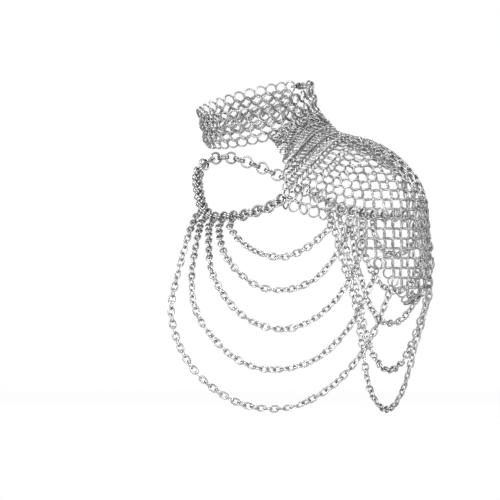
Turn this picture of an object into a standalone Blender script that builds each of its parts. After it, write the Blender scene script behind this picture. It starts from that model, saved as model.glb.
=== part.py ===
"""Chain-mail collar and one-shoulder mantle with draped chains.

Metres, +Z up. The wearer faces -Y and the mantle lies on the wearer's left shoulder, +X.
The origin is the middle of the collar band, on the axis of the neck.
"""
import math

import bmesh
import bpy
import numpy as np
from mathutils import Matrix, Vector

MM = 0.001

# Mail and wire
MAIL_BAR = 2.2 * MM
MAIL_SEAM_GAP = 1.0 * MM
RING_WIRE = 1.3 * MM
SEAT_GAP = 0.35 * MM
UPPER_RING_SEAT_GAP = 0.8 * MM
EDGE_RING_BORE = 9.7 * MM
JUMP_RING_BORE = 6.2 * MM
CORNER_RING_BORE = 9.0 * MM
CLASP_RING_BORE = 6.4 * MM

# Collar band
COLLAR_RADIUS = 58.0 * MM
COLLAR_HEIGHT = 39.0 * MM
COLLAR_LEAN = math.radians(16.5)
COLLAR_OPENING = 22.0 * MM
COLLAR_COLUMNS = 34
COLLAR_ROWS = 4

# The neck, shoulder and chest that the piece is shaped to
NECK_RADIUS = 56.0 * MM
SHOULDER_REACH_X = 98.0 * MM
SHOULDER_REACH_Y = 76.0 * MM
SHOULDER_RISE = 76.0 * MM
SHOULDER_X = 116.0 * MM
SHOULDER_Y = 22.0 * MM
SHOULDER_Z = -100.0 * MM
ARM_END_Z = -168.0 * MM
ARM_END_ROUND = 44.0 * MM
YOKE_RADIUS = 55.0 * MM
YOKE_NECK_X = 36.0 * MM
YOKE_NECK_Z = -58.0 * MM
YOKE_TIP_X = 108.0 * MM
YOKE_TIP_Z = -82.0 * MM
YOKE_Y = 24.0 * MM
CHEST_HALF_WIDTH = 134.0 * MM
CHEST_HALF_DEPTH = 104.0 * MM
CHEST_HALF_HEIGHT = 200.0 * MM
CHEST_Z = -230.0 * MM
BUST_X = 68.0 * MM
BUST_Y = -72.0 * MM
BUST_Z = -200.0 * MM
BUST_RADIUS = 60.0 * MM
BUST_HALF_HEIGHT = 72.0 * MM
FORM_BLEND = 8.0 * MM
MAIL_STANDOFF = 2.0 * MM

# Mantle, in angles about the shoulder (0 points to the wearer's left, negative to the front)
MANTLE_COLUMNS = 7
MANTLE_ROWS = 10
MANTLE_FRONT_ANGLE = math.radians(-82.0)
MANTLE_CREST_ANGLE = math.radians(5.0)
MANTLE_BACK_ANGLE = math.radians(86.0)
MANTLE_FRONT_Z = -89.0 * MM
MANTLE_SIDE_Z = -109.0 * MM
MANTLE_DROP_ANGLE = math.radians(55.0)
SEAM_FRONT_ANGLE = math.radians(68.0)
SEAM_CREST_ANGLE = math.radians(116.0)
SEAM_BACK_ANGLE = math.radians(160.0)
POINT_PITCH = 17.0 * MM
POINT_ROWS = 5
POINT_TIP_ANGLE = math.radians(14.0)

# Neck chain
NECK_LINK_PITCH = 8.3 * MM
NECK_LINK_WIDTH = 12.2 * MM
NECK_LINK_WIRE = 1.8 * MM

# Draped chains
DRAPE_LINK_PITCH = 7.4 * MM
DRAPE_LINK_WIDTH = 6.8 * MM
DRAPE_LINK_WIRE = 1.5 * MM

# Clasps at the back of the neck. Places are from the clasp's middle, across the opening (X)
# and up the collar (Z)
CLASP_THICKNESS = 2.6 * MM
CLASP_HALF_WIDTH = 3.3 * MM
CLASP_WALL = 1.5 * MM
CLASP_EYE_RADIUS = 2.4 * MM
CLASP_EYE_BORE = 2.5 * MM
CLASP_HOOK_SETBACK = 0.5 * MM
CLASP_BLOCK_LEFT_X = -3.5 * MM
CLASP_BLOCK_RIGHT_X = -0.6 * MM
CLASP_TIP_X = 4.2 * MM
CLASP_PIVOT_X = -2.1 * MM
CLASP_PIVOT_Z = 1.5 * MM
CLASP_PIN_RADIUS = 0.45 * MM
CLASP_PIN_CLEARANCE = 0.06 * MM
CLASP_GATE_THICKNESS = 1.0 * MM
CLASP_GATE_ROUND = 1.2 * MM
CLASP_GATE_END_X = 4.7 * MM
CLASP_GATE_END_HEIGHT = 1.0 * MM
CLASP_GATE_CLEARANCE = 0.3 * MM
CLASP_SLOT_FLOOR_Z = -0.4 * MM

# Routes of the neck chain over the chest and the back, and of the drapes between their ends
NECK_CHAIN_ROUTE = [
    (113.0, -58.0, -89.0),
    (101.5, -61.3, -93.3),
    (86.0, -65.9, -96.9),
    (70.5, -70.7, -100.9),
    (54.0, -72.0, -102.0),
    (37.4, -71.9, -102.7),
    (20.8, -70.9, -102.7),
    (5.1, -67.8, -98.4),
    (-9.4, -62.4, -92.0),
    (-23.0, -55.2, -85.8),
    (-36.0, -47.8, -78.8),
    (-48.7, -40.3, -71.7),
    (-61.5, -32.2, -66.0),
    (-74.0, -23.5, -60.5),
    (-84.0, -12.0, -52.0),
    (-88.0, 2.0, -44.5),
    (-86.0, 18.0, -41.5),
    (-77.0, 38.0, -46.0),
    (-62.0, 57.0, -56.0),
    (-43.0, 73.0, -68.0),
    (-18.0, 86.0, -82.0),
    (12.0, 93.0, -93.0),
    (46.0, 97.0, -99.0),
    (86.0, 99.0, -102.0),
]

Z_AXIS = np.array((0.0, 0.0, 1.0))


def unit(vector):
    vector = np.asarray(vector, dtype=float)
    return vector / np.linalg.norm(vector)


def square_to(vector, axis):
    """The part of vector that is square to axis, at length one."""
    axis = unit(axis)
    return unit(vector - np.dot(vector, axis) * axis)


# The form under the mail

COLLAR_AXIS = np.array((0.0, -math.sin(COLLAR_LEAN), math.cos(COLLAR_LEAN)))
COLLAR_FRONT = np.array((0.0, -math.cos(COLLAR_LEAN), -math.sin(COLLAR_LEAN)))
COLLAR_SIDE = np.array((1.0, 0.0, 0.0))


def ellipsoid(points, centre, radii):
    scaled = (points - np.array(centre)) / np.array(radii)
    return (np.linalg.norm(scaled, axis=1) - 1.0) * min(radii)


def neck_column(points):
    along = points @ COLLAR_AXIS
    off_axis = np.linalg.norm(points - np.outer(along, COLLAR_AXIS), axis=1) - NECK_RADIUS
    return np.maximum(off_axis, -along - 2.0 * COLLAR_HEIGHT)


def shoulder_cap(points):
    x = (points[:, 0] - SHOULDER_X) / SHOULDER_REACH_X
    y = (points[:, 1] - SHOULDER_Y) / SHOULDER_REACH_Y
    above = np.maximum(points[:, 2] - SHOULDER_Z, 0.0) / SHOULDER_RISE
    below = np.maximum(ARM_END_Z - points[:, 2], 0.0) / ARM_END_ROUND
    return (np.sqrt(x * x + y * y + above * above + below * below) - 1.0) * SHOULDER_REACH_Y


def yoke(points, side):
    start = np.array((side * YOKE_NECK_X, YOKE_Y, YOKE_NECK_Z))
    run = np.array((side * YOKE_TIP_X, YOKE_Y, YOKE_TIP_Z)) - start
    share = np.clip((points - start) @ run / (run @ run), 0.0, 1.0)
    return np.linalg.norm(points - start - np.outer(share, run), axis=1) - YOKE_RADIUS


def form_distance(points):
    """Distance of each point from the worn form, negative inside it."""
    chest_radii = (CHEST_HALF_WIDTH, CHEST_HALF_DEPTH, CHEST_HALF_HEIGHT)
    bust_radii = (BUST_RADIUS, BUST_RADIUS, BUST_HALF_HEIGHT)
    each = np.array([
        neck_column(points),
        shoulder_cap(points),
        yoke(points, 1.0),
        yoke(points, -1.0),
        ellipsoid(points, (0.0, 0.0, CHEST_Z), chest_radii),
        ellipsoid(points, (BUST_X, BUST_Y, BUST_Z), bust_radii),
        ellipsoid(points, (-BUST_X, BUST_Y, BUST_Z), bust_radii),
    ])
    nearest = each.min(axis=0)
    return nearest - FORM_BLEND * np.log(np.exp((nearest - each) / FORM_BLEND).sum(axis=0))


def form_normal(points):
    step = 0.1 * FORM_BLEND
    slope = np.empty_like(points)
    for axis in range(3):
        shift = np.zeros(3)
        shift[axis] = step
        slope[:, axis] = form_distance(points + shift) - form_distance(points - shift)
    return slope / np.linalg.norm(slope, axis=1)[:, None]


def onto_form(points, standoff):
    points = np.array(points, dtype=float)
    for _ in range(12):
        points -= (form_distance(points) - standoff)[:, None] * form_normal(points)
    return points


# Curves as rows of points

def lengths_along(points):
    steps = np.linalg.norm(np.diff(points, axis=0), axis=1)
    return np.concatenate(([0.0], np.cumsum(steps)))


def resample(points, count):
    """The same curve as count points at equal steps."""
    along = lengths_along(points)
    wanted = np.linspace(0.0, along[-1], count)
    return np.array([np.interp(wanted, along, points[:, axis]) for axis in range(3)]).T


def smooth_route(stations, steps=8):
    """Catmull-Rom curve through the stations."""
    first = 2.0 * stations[0] - stations[1]
    last = 2.0 * stations[-1] - stations[-2]
    p = np.vstack((first, stations, last))
    curve = []
    for i in range(1, len(p) - 2):
        for t in np.arange(steps) / steps:
            curve.append(0.5 * (2.0 * p[i] + (p[i + 1] - p[i - 1]) * t
                                + (2.0 * p[i - 1] - 5.0 * p[i] + 4.0 * p[i + 1] - p[i + 2]) * t ** 2
                                + (3.0 * p[i] - p[i - 1] - 3.0 * p[i + 1] + p[i + 2]) * t ** 3))
    curve.append(p[-2])
    return np.array(curve)


def tangents(points):
    slope = np.gradient(points, axis=0)
    return slope / np.linalg.norm(slope, axis=1)[:, None]


# Scene

for old in list(bpy.data.objects):
    bpy.data.objects.remove(old, do_unlink=True)
collection = bpy.data.collections.new("chainmail_shoulder_mantle")
bpy.context.scene.collection.children.link(collection)
cutters = bpy.data.collections.new("cutters")
bpy.context.scene.collection.children.link(cutters)


def metal(name, colour, roughness):
    material = bpy.data.materials.new(name)
    material.use_nodes = True
    shader = material.node_tree.nodes["Principled BSDF"]
    shader.inputs["Base Color"].default_value = (*colour, 1.0)
    shader.inputs["Metallic"].default_value = 1.0
    shader.inputs["Roughness"].default_value = roughness
    return material


MAIL_METAL = metal("mail_aluminium", (0.78, 0.78, 0.79), 0.24)
LINK_METAL = metal("polished_link", (0.84, 0.84, 0.85), 0.16)
CLASP_METAL = metal("clasp_steel", (0.72, 0.72, 0.73), 0.2)


def new_object(name, mesh, material, target=None):
    piece = bpy.data.objects.new(name, mesh)
    mesh.materials.append(material)
    (target or collection).objects.link(piece)
    return piece


def place_on_axis(piece, origin):
    """Move a piece's origin to a point of its joint's axis, its shape staying where it is."""
    origin = Vector(origin)
    piece.data.transform(Matrix.Translation(-origin))
    piece.location = origin


# Mail nets: one bar for each row and column of rings, square gaps between them

def net(name, points, keep=None):
    """A net through a grid of points, of which keep(column, row) says which gaps there are."""
    mesh = bpy.data.meshes.new(name)
    bm = bmesh.new()
    columns, rows = points.shape[0], points.shape[1]
    corners = {}
    for i in range(columns):
        for j in range(rows):
            corners[i, j] = bm.verts.new(points[i, j])
    for i in range(columns - 1):
        for j in range(rows - 1):
            if keep is None or keep(i, j):
                bm.faces.new((corners[i, j], corners[i + 1, j], corners[i + 1, j + 1], corners[i, j + 1]))
    bmesh.ops.delete(bm, geom=[v for v in bm.verts if not v.link_faces], context="VERTS")
    bm.to_mesh(mesh)
    bm.free()
    piece = new_object(name, mesh, MAIL_METAL)
    bars = piece.modifiers.new("bars", "WIREFRAME")
    bars.thickness = MAIL_BAR
    bars.use_even_offset = True
    bars.use_boundary = True
    bars.use_replace = True
    return piece


def collar_point(angle, height, radius=COLLAR_RADIUS):
    """A point on the collar's cylinder. The angle runs from the front to the wearer's left."""
    around = math.sin(angle) * COLLAR_SIDE + math.cos(angle) * COLLAR_FRONT
    return radius * around + height * COLLAR_AXIS


OPENING_ANGLE = 0.5 * COLLAR_OPENING / COLLAR_RADIUS


def collar():
    angles = np.linspace(OPENING_ANGLE - math.pi, math.pi - OPENING_ANGLE, COLLAR_COLUMNS + 1)
    reach = 0.5 * (COLLAR_HEIGHT - MAIL_BAR)
    heights = np.linspace(-reach, reach, COLLAR_ROWS + 1)
    points = np.array([[collar_point(angle, height) for height in heights] for angle in angles])
    return net("collar_mail", points)


def hem_height(angle):
    """Height of the mantle's lowest full row, which drops from the front corner to the side."""
    share = min(1.0, (angle - MANTLE_FRONT_ANGLE) / MANTLE_DROP_ANGLE)
    return MANTLE_FRONT_Z + share * (MANTLE_SIDE_Z - MANTLE_FRONT_Z)


def shoulder_point(angle, height):
    guess = (SHOULDER_X + SHOULDER_REACH_X * math.cos(angle),
             SHOULDER_Y + SHOULDER_REACH_Y * math.sin(angle), height)
    return onto_form([guess], MAIL_STANDOFF)[0]


SEAM_HEIGHT = -0.5 * COLLAR_HEIGHT - 0.5 * MAIL_BAR - MAIL_SEAM_GAP


def mail_column(arm_angle, seam_angle, count):
    """One column of mail from the hem over the shoulder to the collar's lower edge."""
    hem = shoulder_point(arm_angle, hem_height(arm_angle))
    seam = collar_point(seam_angle, SEAM_HEIGHT)
    turn = 0.5 * math.pi * np.linspace(0.0, 1.0, 40)
    top = max(seam[2], SHOULDER_Z + SHOULDER_RISE)
    guess = np.empty((len(turn), 3))
    guess[:, 0] = hem[0] + (seam[0] - hem[0]) * (1.0 - np.cos(turn))
    guess[:, 1] = hem[1] + (seam[1] - hem[1]) * (1.0 - np.cos(turn))
    guess[:, 2] = hem[2] + (top - hem[2]) * np.sin(turn)
    laid = onto_form(guess, MAIL_STANDOFF)
    laid[0] = hem
    laid = laid[np.linalg.norm(laid - seam, axis=1) > 3.0 * MAIL_BAR]
    return resample(smooth_route(np.vstack((resample(laid, 12), seam))), count)


def mantle_half(name, arm_angles, seam_angles, inset):
    """Half of the mantle, whose edge along the crest is drawn in by inset."""
    columns = [mail_column(arm, seam, MANTLE_ROWS + 1)
               for arm, seam in zip(arm_angles, seam_angles)]
    points = np.array(columns)
    edge, inner = inset
    away = points[inner] - points[edge]
    away /= np.linalg.norm(away, axis=1)[:, None]
    points[edge] += 0.5 * (MAIL_BAR + MAIL_SEAM_GAP) * away
    return net(name, points), points


FRONT_ARM_ANGLES = np.linspace(MANTLE_FRONT_ANGLE, MANTLE_CREST_ANGLE, MANTLE_COLUMNS + 1)
FRONT_SEAM_ANGLES = np.linspace(SEAM_FRONT_ANGLE, SEAM_CREST_ANGLE, MANTLE_COLUMNS + 1)
BACK_ARM_ANGLES = np.linspace(MANTLE_CREST_ANGLE, MANTLE_BACK_ANGLE, MANTLE_COLUMNS + 1)
BACK_SEAM_ANGLES = np.linspace(SEAM_CREST_ANGLE, SEAM_BACK_ANGLE, MANTLE_COLUMNS + 1)


def arm_point():
    """The stepped point of mail that hangs down the upper arm below the hem."""
    step = POINT_PITCH / (0.5 * (SHOULDER_REACH_X + SHOULDER_REACH_Y))
    half = POINT_ROWS
    points = np.empty((2 * half, POINT_ROWS + 1, 3))
    for i in range(2 * half):
        angle = POINT_TIP_ANGLE + (i - half + 0.5) * step
        for j in range(POINT_ROWS + 1):
            height = hem_height(angle) - MAIL_BAR - MAIL_SEAM_GAP - j * POINT_PITCH
            points[i, j] = shoulder_point(angle, height)

    def keep(i, j):
        return j <= i <= 2 * half - 2 - j

    return net("mantle_arm_point", points, keep), points


# Rings: round wire, closed

def ring(name, centre, axis, bore, wire=RING_WIRE):
    bpy.ops.mesh.primitive_torus_add(major_segments=10, minor_segments=3,
                                     major_radius=0.5 * (bore + wire), minor_radius=0.5 * wire)
    made = bpy.context.object
    mesh = made.data
    bpy.data.objects.remove(made, do_unlink=True)
    mesh.name = name
    piece = new_object(name, mesh, LINK_METAL)
    piece.location = Vector(centre)
    piece.rotation_mode = "QUATERNION"
    piece.rotation_quaternion = Vector(axis).to_track_quat("Z", "Y")
    return piece


# Chains: each link is a closed loop of three-sided wire, fused to the next one on the small
# square face where the two bear on each other

# Places of a link's sides between its two end squares: share of the pitch, share of the width
DRAPE_SIDE_SHARES = ((0.5, 1.0),)
NECK_SIDE_SHARES = ((0.28, 1.0), (0.72, 1.0))
CORNER_SPREAD_SHARE = 0.55


class Chain:
    """A fused run of links through contact points, each turned a quarter from the last."""

    def __init__(self, contacts, start_width, end_width, link_width, wire, side_shares):
        self.points = contacts
        self.along = tangents(contacts)
        self.width = link_width
        self.wire = wire
        self.side_shares = side_shares
        self.links = len(contacts) - 1
        self.turn_frames(start_width, end_width)

    def turn_frames(self, start_width, end_width):
        """Carry a square frame down the chain and spread the leftover turn over its links."""
        carried = [square_to(start_width, self.along[0])]
        for tangent in self.along[1:]:
            carried.append(square_to(carried[-1], tangent))
        wanted = square_to(end_width, self.along[-1])
        side = np.cross(self.along[-1], carried[-1])
        leftover = math.atan2(wanted @ side, wanted @ carried[-1])
        leftover -= 0.5 * math.pi * (self.links - 1)
        leftover -= math.pi * round(leftover / math.pi)
        self.across = []
        self.other = []
        for k, (tangent, base) in enumerate(zip(self.along, carried)):
            angle = 0.5 * math.pi * k + leftover * min(1.0, k / max(1, self.links - 1))
            side = np.cross(tangent, base)
            direction = math.cos(angle) * base + math.sin(angle) * side
            self.across.append(direction)
            self.other.append(np.cross(tangent, direction))

    def link_width_direction(self, k):
        return unit(self.across[k] - self.other[k + 1])

    def middle(self, k):
        return 0.5 * (self.points[k] + self.points[k + 1])

    def mesh(self, name):
        bm = bmesh.new()
        half = 0.5 * self.wire
        squares = []
        for k, point in enumerate(self.points):
            a = half * self.across[k]
            b = half * self.other[k]
            square = {(u, v): bm.verts.new(point + u * a + v * b) for u in (-1, 1) for v in (-1, 1)}
            squares.append(square)
        for k in range(self.links):
            self.add_link(bm, squares, k)
        bmesh.ops.recalc_face_normals(bm, faces=bm.faces[:])
        mesh = bpy.data.meshes.new(name)
        bm.to_mesh(mesh)
        bm.free()
        return mesh

    def add_link(self, bm, squares, k):
        near, far = squares[k], squares[k + 1]
        half = 0.5 * self.wire
        spread = half + CORNER_SPREAD_SHARE * self.wire
        near_u, near_v = self.across[k], self.other[k]
        far_u, far_v = -self.other[k + 1], self.across[k + 1]
        run = self.points[k + 1] - self.points[k]
        stations = {-1: [], 1: []}
        for side in (-1, 1):
            tip = self.points[k] - self.wire * self.along[k] + side * spread * near_u
            stations[side].append((near[side, -1], near[side, 1], bm.verts.new(tip)))
            for along_share, width_share in self.side_shares:
                outward = unit((1.0 - along_share) * near_u + along_share * far_u)
                flat = unit((1.0 - along_share) * near_v + along_share * far_v)
                base = self.points[k] + along_share * run
                reach = 0.5 * width_share * self.width
                wall = base + side * (reach - self.wire) * outward
                stations[side].append((bm.verts.new(wall - half * flat), bm.verts.new(wall + half * flat),
                                       bm.verts.new(base + side * reach * outward)))
            tip = self.points[k + 1] + self.wire * self.along[k + 1] + side * spread * far_u
            stations[side].append((far[-1, -side], far[1, -side], bm.verts.new(tip)))
        loop = stations[1] + stations[-1][::-1]
        for index, here in enumerate(loop):
            there = loop[(index + 1) % len(loop)]
            at_far_end = index == len(stations[1]) - 1
            at_near_end = index == len(loop) - 1
            shared = (at_far_end and k < self.links - 1) or (at_near_end and k > 0)
            if not shared:
                bm.faces.new((here[0], here[1], there[1], there[0]))
            bm.faces.new((here[1], here[2], there[2], there[1]))
            bm.faces.new((here[2], here[0], there[0], there[2]))


def hooked_point(centre, axis, bore, leaving, link_wire):
    """Where a link's end face lies when it hooks round a ring's wire and leaves one way."""
    outward = square_to(leaving, axis)
    wire_centre = centre + 0.5 * (bore + RING_WIRE) * outward
    return wire_centre - (0.5 * RING_WIRE + SEAT_GAP) * unit(leaving)


# Neck chain, from the mantle's front corner round the right of the neck to its back corner

def corner_ring(name, bar_low, bar_high, toward):
    """A ring round the mail's edge bar at a corner, reaching toward the neck chain."""
    axis = unit(bar_high - bar_low)
    outward = square_to(toward, axis)
    bar_reach = MAIL_BAR / math.sqrt(2.0)
    centre = 0.5 * (bar_low + bar_high) + (0.5 * CORNER_RING_BORE - bar_reach - SEAT_GAP) * outward
    ring(name, centre, axis, CORNER_RING_BORE)
    return centre, axis


front_mail, front_points = mantle_half("mantle_front", FRONT_ARM_ANGLES, FRONT_SEAM_ANGLES, (-1, -2))
back_mail, back_points = mantle_half("mantle_back", BACK_ARM_ANGLES, BACK_SEAM_ANGLES, (0, 1))
point_mail, point_points = arm_point()
collar()

neck_route = MM * np.array(NECK_CHAIN_ROUTE)
neck_curve = smooth_route(neck_route)
front_corner, front_corner_axis = corner_ring(
    "neck_chain_front_ring", front_points[0, 0], front_points[0, 1], neck_route[1] - front_points[0, 0])
back_corner, back_corner_axis = corner_ring(
    "neck_chain_back_ring", back_points[-1, 0], back_points[-1, 1], neck_route[-2] - back_points[-1, 0])
leave_front = unit(neck_curve[4] - front_corner)
leave_back = unit(neck_curve[-5] - back_corner)
neck_start = hooked_point(front_corner, front_corner_axis, CORNER_RING_BORE, leave_front, NECK_LINK_WIRE)
neck_end = hooked_point(back_corner, back_corner_axis, CORNER_RING_BORE, leave_back, NECK_LINK_WIRE)
neck_curve = np.vstack((neck_start, neck_curve[4:-4], neck_end))
neck_links = round(lengths_along(neck_curve)[-1] / NECK_LINK_PITCH)
neck_chain = Chain(resample(neck_curve, neck_links + 1), front_corner_axis, back_corner_axis,
                   NECK_LINK_WIDTH, NECK_LINK_WIRE, NECK_SIDE_SHARES)
new_object("neck_chain", neck_chain.mesh("neck_chain"), LINK_METAL)


# Drapes: link of the neck chain that carries the upper end (counted from the front corner, or
# from the back corner for the back drapes), place of the mail bar that carries the lower end,
# and the millimetre stations between the two
FRONT_DRAPES = (
    (8, "hem", 3,
        [(84, -84, -124), (109, -79, -137), (134, -65, -142), (158, -52, -132)]),
    (10, "hem", 4,
        [(67, -94, -124), (88, -103, -139), (110, -102, -157), (129, -88, -172),
         (149, -69, -174), (168, -51, -164), (183, -39, -144)]),
    (12, "point", 0,
        [(50, -96, -122), (68, -108, -138), (86, -118, -155), (104, -119, -175),
         (119, -110, -195), (135, -94, -209), (153, -74, -213), (169, -55, -204),
         (184, -40, -187), (195, -29, -166)]),
    (14, "point", 1,
        [(33, -97, -120), (47, -111, -138), (61, -124, -158), (73, -132, -180),
         (86, -132, -203), (100, -123, -224), (115, -109, -242), (132, -91, -252),
         (149, -71, -252), (167, -52, -244), (182, -37, -228), (194, -25, -208),
         (203, -16, -184)]),
    (16, "point", 2,
        [(11, -93, -119), (15, -104, -142), (20, -115, -166), (25, -124, -190),
         (34, -127, -214), (47, -125, -237), (61, -117, -258), (77, -104, -275),
         (95, -89, -287), (114, -71, -292), (133, -53, -290), (151, -37, -280),
         (167, -23, -265), (182, -12, -246), (194, -3, -225), (204, 3, -201)]),
)
BACK_DRAPES = (
    (6, "hem", 1,
        [(64, 96, -119), (77, 96, -134), (96, 98, -140), (115, 101, -134)]),
    (8, "hem", 2,
        [(45, 94, -120), (55, 93, -145), (72, 95, -166), (97, 97, -177), (122, 100, -168),
         (140, 99, -146)]),
    (10, "point", 0,
        [(31, 92, -117), (41, 89, -141), (53, 88, -165), (69, 86, -189), (91, 86, -206),
         (119, 87, -206), (141, 89, -189), (156, 93, -166)]),
    (12, "point", 1,
        [(15, 92, -115), (23, 91, -135), (33, 91, -157), (43, 91, -180), (54, 89, -204),
         (67, 86, -226), (84, 84, -245), (108, 81, -255), (133, 79, -248), (151, 79, -229),
         (164, 80, -206), (175, 83, -182)]),
    (14, "point", 2,
        [(0, 92, -111), (9, 92, -133), (19, 93, -156), (30, 94, -179), (39, 94, -205),
         (50, 91, -231), (62, 87, -255), (78, 82, -277), (101, 78, -292), (127, 72, -292),
         (149, 69, -276), (164, 67, -253), (175, 67, -227), (185, 69, -201)]),
)


def mail_bar_ends(side, place, index):
    """The two ends of the horizontal edge bar that carries a drape's lower end."""
    if place == "hem":
        if side == "front":
            return front_points[index - 1, 0], front_points[index, 0]
        return back_points[-index, 0], back_points[-index - 1, 0]
    if side == "front":
        return point_points[index, index + 1], point_points[index + 1, index + 1]
    last = len(point_points) - 1
    return point_points[last - index, index + 1], point_points[last - index - 1, index + 1]


def upper_hook(chain, link, axis):
    """Centre of the jump ring that hangs from the lower side of one neck-chain link."""
    across = chain.link_width_direction(link)
    if across[2] > 0.0:
        across = -across
    leg = chain.middle(link) + 0.5 * (chain.width - chain.wire) * across
    drop = 0.5 * (JUMP_RING_BORE - chain.wire) - UPPER_RING_SEAT_GAP
    return leg + drop * square_to(across, axis)


def lower_hook(bar_start, bar_end, axis):
    """Centres of the mail edge ring and of the jump ring in it, and the edge ring's axis."""
    bar = unit(bar_end - bar_start)
    middle = 0.5 * (bar_start + bar_end)
    outward = square_to(form_normal(middle[None, :])[0], bar)
    tilt = math.radians(50.0)
    edge_axis = math.cos(tilt) * bar - math.sin(tilt) * outward * math.copysign(1.0, bar @ axis)
    down = square_to(-Z_AXIS, edge_axis)
    bar_reach = MAIL_BAR / math.sqrt(2.0)
    edge_centre = middle + (0.5 * EDGE_RING_BORE - bar_reach - 2.0 * SEAT_GAP) * down
    swing = np.cross(edge_axis, axis)
    swing = unit(swing if swing[2] < 0.0 else -swing)
    apart = 0.5 * (EDGE_RING_BORE + JUMP_RING_BORE) - SEAT_GAP
    return edge_centre, edge_axis, edge_centre + apart * swing


def drape(side, number, spec):
    name = f"{side}_drape_{number}"
    link, place, index, route = spec
    if side == "back":
        link = neck_chain.links - 1 - link
    bar_start, bar_end = mail_bar_ends(side, place, index)
    upper = neck_chain.middle(link)
    lower = 0.5 * (bar_start + bar_end)
    for _ in range(6):
        axis = unit(lower - upper)
        upper = upper_hook(neck_chain, link, axis)
        edge_centre, edge_axis, lower = lower_hook(bar_start, bar_end, axis)
    axis = unit(lower - upper)
    ring(name + "_upper_ring", upper, axis, JUMP_RING_BORE)
    ring(name + "_lower_ring", lower, axis, JUMP_RING_BORE)
    ring(name + "_edge_ring", edge_centre, edge_axis, EDGE_RING_BORE)

    stations = MM * np.array(route, dtype=float)
    start = hooked_point(upper, axis, JUMP_RING_BORE, stations[0] - upper, DRAPE_LINK_WIRE)
    end = hooked_point(lower, axis, JUMP_RING_BORE, stations[-1] - lower, DRAPE_LINK_WIRE)
    curve = smooth_route(np.vstack((start, stations, end)))
    links = round(lengths_along(curve)[-1] / DRAPE_LINK_PITCH)
    points = resample(curve, links + 1)
    chain = Chain(points, axis, axis, DRAPE_LINK_WIDTH, DRAPE_LINK_WIRE, DRAPE_SIDE_SHARES)
    piece = new_object(name, chain.mesh(name), LINK_METAL)
    place_on_axis(piece, upper)


for number, spec in enumerate(FRONT_DRAPES, start=1):
    drape("front", number, spec)
for number, spec in enumerate(BACK_DRAPES, start=1):
    drape("back", number, spec)


# Clasps

def arc(centre, radius, start, end, count):
    angles = np.radians(np.linspace(start, end, count))
    return [(centre[0] + radius * math.cos(t), centre[1] + radius * math.sin(t)) for t in angles]


def circle(centre, radius, count=12):
    return arc(centre, radius, 0.0, 360.0, count + 1)[:-1]


def plate(name, outlines, thickness, frame, target=None):
    """A flat plate with the first outline as its edge and the others as holes through it."""
    bm = bmesh.new()
    edges = []
    for outline in outlines:
        corners = [bm.verts.new((x, z, -0.5 * thickness)) for x, z in outline]
        edges += [bm.edges.new((corners[k - 1], corners[k])) for k in range(len(corners))]
    bmesh.ops.triangle_fill(bm, use_beauty=True, edges=edges)
    lifted = bmesh.ops.extrude_face_region(bm, geom=bm.faces[:])["geom"]
    moved = [item for item in lifted if isinstance(item, bmesh.types.BMVert)]
    bmesh.ops.translate(bm, vec=(0.0, 0.0, thickness), verts=moved)
    bmesh.ops.recalc_face_normals(bm, faces=bm.faces[:])
    mesh = bpy.data.meshes.new(name)
    bm.to_mesh(mesh)
    bm.free()
    mesh.transform(frame)
    return new_object(name, mesh, CLASP_METAL, target)


def cut(piece, cutter):
    cutter.hide_render = True
    cutter.display_type = "WIRE"
    slot = piece.modifiers.new("slot", "BOOLEAN")
    slot.operation = "DIFFERENCE"
    slot.object = cutter


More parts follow.
